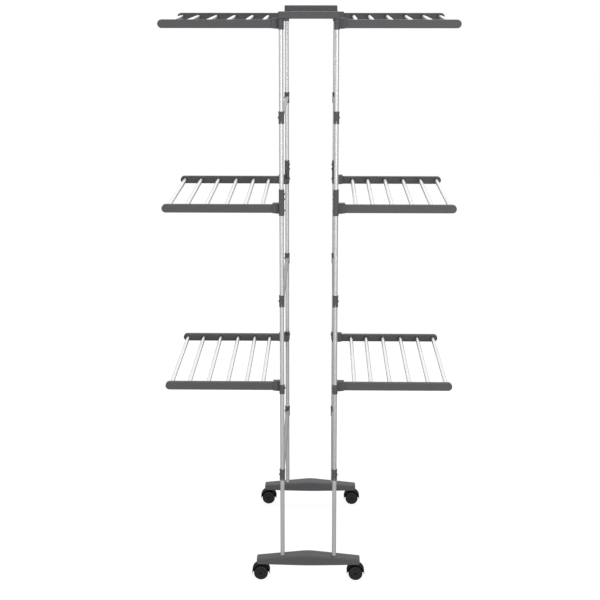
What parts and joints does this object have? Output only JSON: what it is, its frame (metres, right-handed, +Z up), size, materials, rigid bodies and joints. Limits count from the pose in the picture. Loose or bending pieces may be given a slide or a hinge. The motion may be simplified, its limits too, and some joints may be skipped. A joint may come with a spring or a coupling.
{
  "type": "rolling clothes drying rack",
  "caption": "Tall rolling clothes drying rack: steel posts on twin-wheel castors carry folding wings of hanging rods in tiers, joined by a hand bridge at each end.",
  "frame": {"origin": "on the floor, in the middle of the rack's footprint", "axes": "+Z up, +X towards the right wings, +Y from the front post frame to the rear post frame"},
  "size_m": [0.858, 0.645, 1.71],
  "materials": {
    "grey_plastic": "moulded dark grey plastic, satin",
    "satin_steel": "satin stainless steel tube",
    "bright_steel": "polished stainless steel, for the rods, screws and axle caps",
    "black_plastic": "black moulded castor plastic"
  },
  "bodies": {
    "frame": {"front_base_beam": "grey_plastic", "front_top_bridge": "grey_plastic", "rear_base_beam": "grey_plastic", "rear_top_bridge": "grey_plastic", "lower_post_front_left": "satin_steel", "upper_post_front_left": "satin_steel", "post_coupler_front_left": "grey_plastic", "low_hinge_sleeve_front_left": "grey_plastic", "lower_post_front_right": "satin_steel", "upper_post_front_right": "satin_steel", "post_coupler_front_right": "grey_plastic", "low_hinge_sleeve_front_right": "grey_plastic", "lower_post_rear_left": "satin_steel", "upper_post_rear_left": "satin_steel", "post_coupler_rear_left": "grey_plastic", "low_hinge_sleeve_rear_left": "grey_plastic", "lower_post_rear_right": "satin_steel", "upper_post_rear_right": "satin_steel", "post_coupler_rear_right": "grey_plastic", "low_hinge_sleeve_rear_right": "grey_plastic", "upper_stretcher_left": "satin_steel", "upper_stretcher_right": "satin_steel", "upper_connector_front_left": "grey_plastic", "upper_connector_front_right": "grey_plastic", "upper_connector_rear_left": "grey_plastic", "upper_connector_rear_right": "grey_plastic", "middle_stretcher_left": "satin_steel", "middle_stretcher_right": "satin_steel", "middle_connector_front_left": "grey_plastic", "middle_connector_front_right": "grey_plastic", "middle_connector_rear_left": "grey_plastic", "middle_connector_rear_right": "grey_plastic", "lower_stretcher_left": "satin_steel", "lower_stretcher_right": "satin_steel", "lower_connector_front_left": "grey_plastic", "lower_connector_front_right": "grey_plastic", "lower_connector_rear_left": "grey_plastic", "lower_connector_rear_right": "grey_plastic"},
    "top_left_wing": {"top_left_wing_front_rail_with_rods": "grey_plastic", "top_left_wing_rear_rail": "grey_plastic"},
    "top_right_wing": {"top_right_wing_front_rail_with_rods": "grey_plastic", "top_right_wing_rear_rail": "grey_plastic"},
    "middle_left_wing": {"middle_left_wing_front_rail_with_rods": "grey_plastic", "middle_left_wing_rear_rail": "grey_plastic"},
    "middle_right_wing": {"middle_right_wing_front_rail_with_rods": "grey_plastic", "middle_right_wing_rear_rail": "grey_plastic"},
    "low_left_wing": {"low_left_wing_front_rail_with_rods": "grey_plastic", "low_left_wing_rear_rail": "grey_plastic"},
    "low_right_wing": {"low_right_wing_front_rail_with_rods": "grey_plastic", "low_right_wing_rear_rail": "grey_plastic"},
    "front_left_castor_swivel": {"front_left_castor_hood": "black_plastic"},
    "front_left_castor_wheel_pair": {"front_left_castor_wheels": "black_plastic"},
    "front_right_castor_swivel": {"front_right_castor_hood": "black_plastic"},
    "front_right_castor_wheel_pair": {"front_right_castor_wheels": "black_plastic"},
    "rear_left_castor_swivel": {"rear_left_castor_hood": "black_plastic"},
    "rear_left_castor_wheel_pair": {"rear_left_castor_wheels": "black_plastic"},
    "rear_right_castor_swivel": {"rear_right_castor_hood": "black_plastic"},
    "rear_right_castor_wheel_pair": {"rear_right_castor_wheels": "black_plastic"}
  },
  "joints": [
    {"name": "top_left_wing_fold", "type": "hinge", "parent": "frame", "child": "top_left_wing", "pos_m": [-0.094, 0, 1.6688], "axis": [0, -1, 0], "range_deg": [0, 90]},
    {"name": "top_right_wing_fold", "type": "hinge", "parent": "frame", "child": "top_right_wing", "pos_m": [0.094, 0, 1.6688], "axis": [0, 1, 0], "range_deg": [0, 90]},
    {"name": "middle_left_wing_fold", "type": "hinge", "parent": "frame", "child": "middle_left_wing", "pos_m": [-0.094, 0, 1.14], "axis": [0, -1, 0], "range_deg": [0, 90]},
    {"name": "middle_right_wing_fold", "type": "hinge", "parent": "frame", "child": "middle_right_wing", "pos_m": [0.094, 0, 1.14], "axis": [0, 1, 0], "range_deg": [0, 90]},
    {"name": "low_left_wing_fold", "type": "hinge", "parent": "frame", "child": "low_left_wing", "pos_m": [-0.094, 0, 0.6015], "axis": [0, -1, 0], "range_deg": [0, 90]},
    {"name": "low_right_wing_fold", "type": "hinge", "parent": "frame", "child": "low_right_wing", "pos_m": [0.094, 0, 0.6015], "axis": [0, 1, 0], "range_deg": [0, 90]},
    {"name": "front_left_castor_swivel", "type": "hinge", "parent": "frame", "child": "front_left_castor_swivel", "pos_m": [-0.1366, -0.3, 0.06], "axis": [0, 0, 1], "continuous": true},
    {"name": "front_left_castor_roll", "type": "hinge", "parent": "front_left_castor_swivel", "child": "front_left_castor_wheel_pair", "pos_m": [-0.1446, -0.3, 0.02158], "axis": [0, 1, 0], "continuous": true},
    {"name": "front_right_castor_swivel", "type": "hinge", "parent": "frame", "child": "front_right_castor_swivel", "pos_m": [0.1366, -0.3, 0.06], "axis": [0, 0, 1], "continuous": true},
    {"name": "front_right_castor_roll", "type": "hinge", "parent": "front_right_castor_swivel", "child": "front_right_castor_wheel_pair", "pos_m": [0.1446, -0.3, 0.02158], "axis": [0, 1, 0], "continuous": true},
    {"name": "rear_left_castor_swivel", "type": "hinge", "parent": "frame", "child": "rear_left_castor_swivel", "pos_m": [-0.1366, 0.3, 0.06], "axis": [0, 0, 1], "continuous": true},
    {"name": "rear_left_castor_roll", "type": "hinge", "parent": "rear_left_castor_swivel", "child": "rear_left_castor_wheel_pair", "pos_m": [-0.1446, 0.3, 0.02158], "axis": [0, 1, 0], "continuous": true},
    {"name": "rear_right_castor_swivel", "type": "hinge", "parent": "frame", "child": "rear_right_castor_swivel", "pos_m": [0.1366, 0.3, 0.06], "axis": [0, 0, 1], "continuous": true},
    {"name": "rear_right_castor_roll", "type": "hinge", "parent": "rear_right_castor_swivel", "child": "rear_right_castor_wheel_pair", "pos_m": [0.1446, 0.3, 0.02158], "axis": [0, 1, 0], "continuous": true}
  ]
}
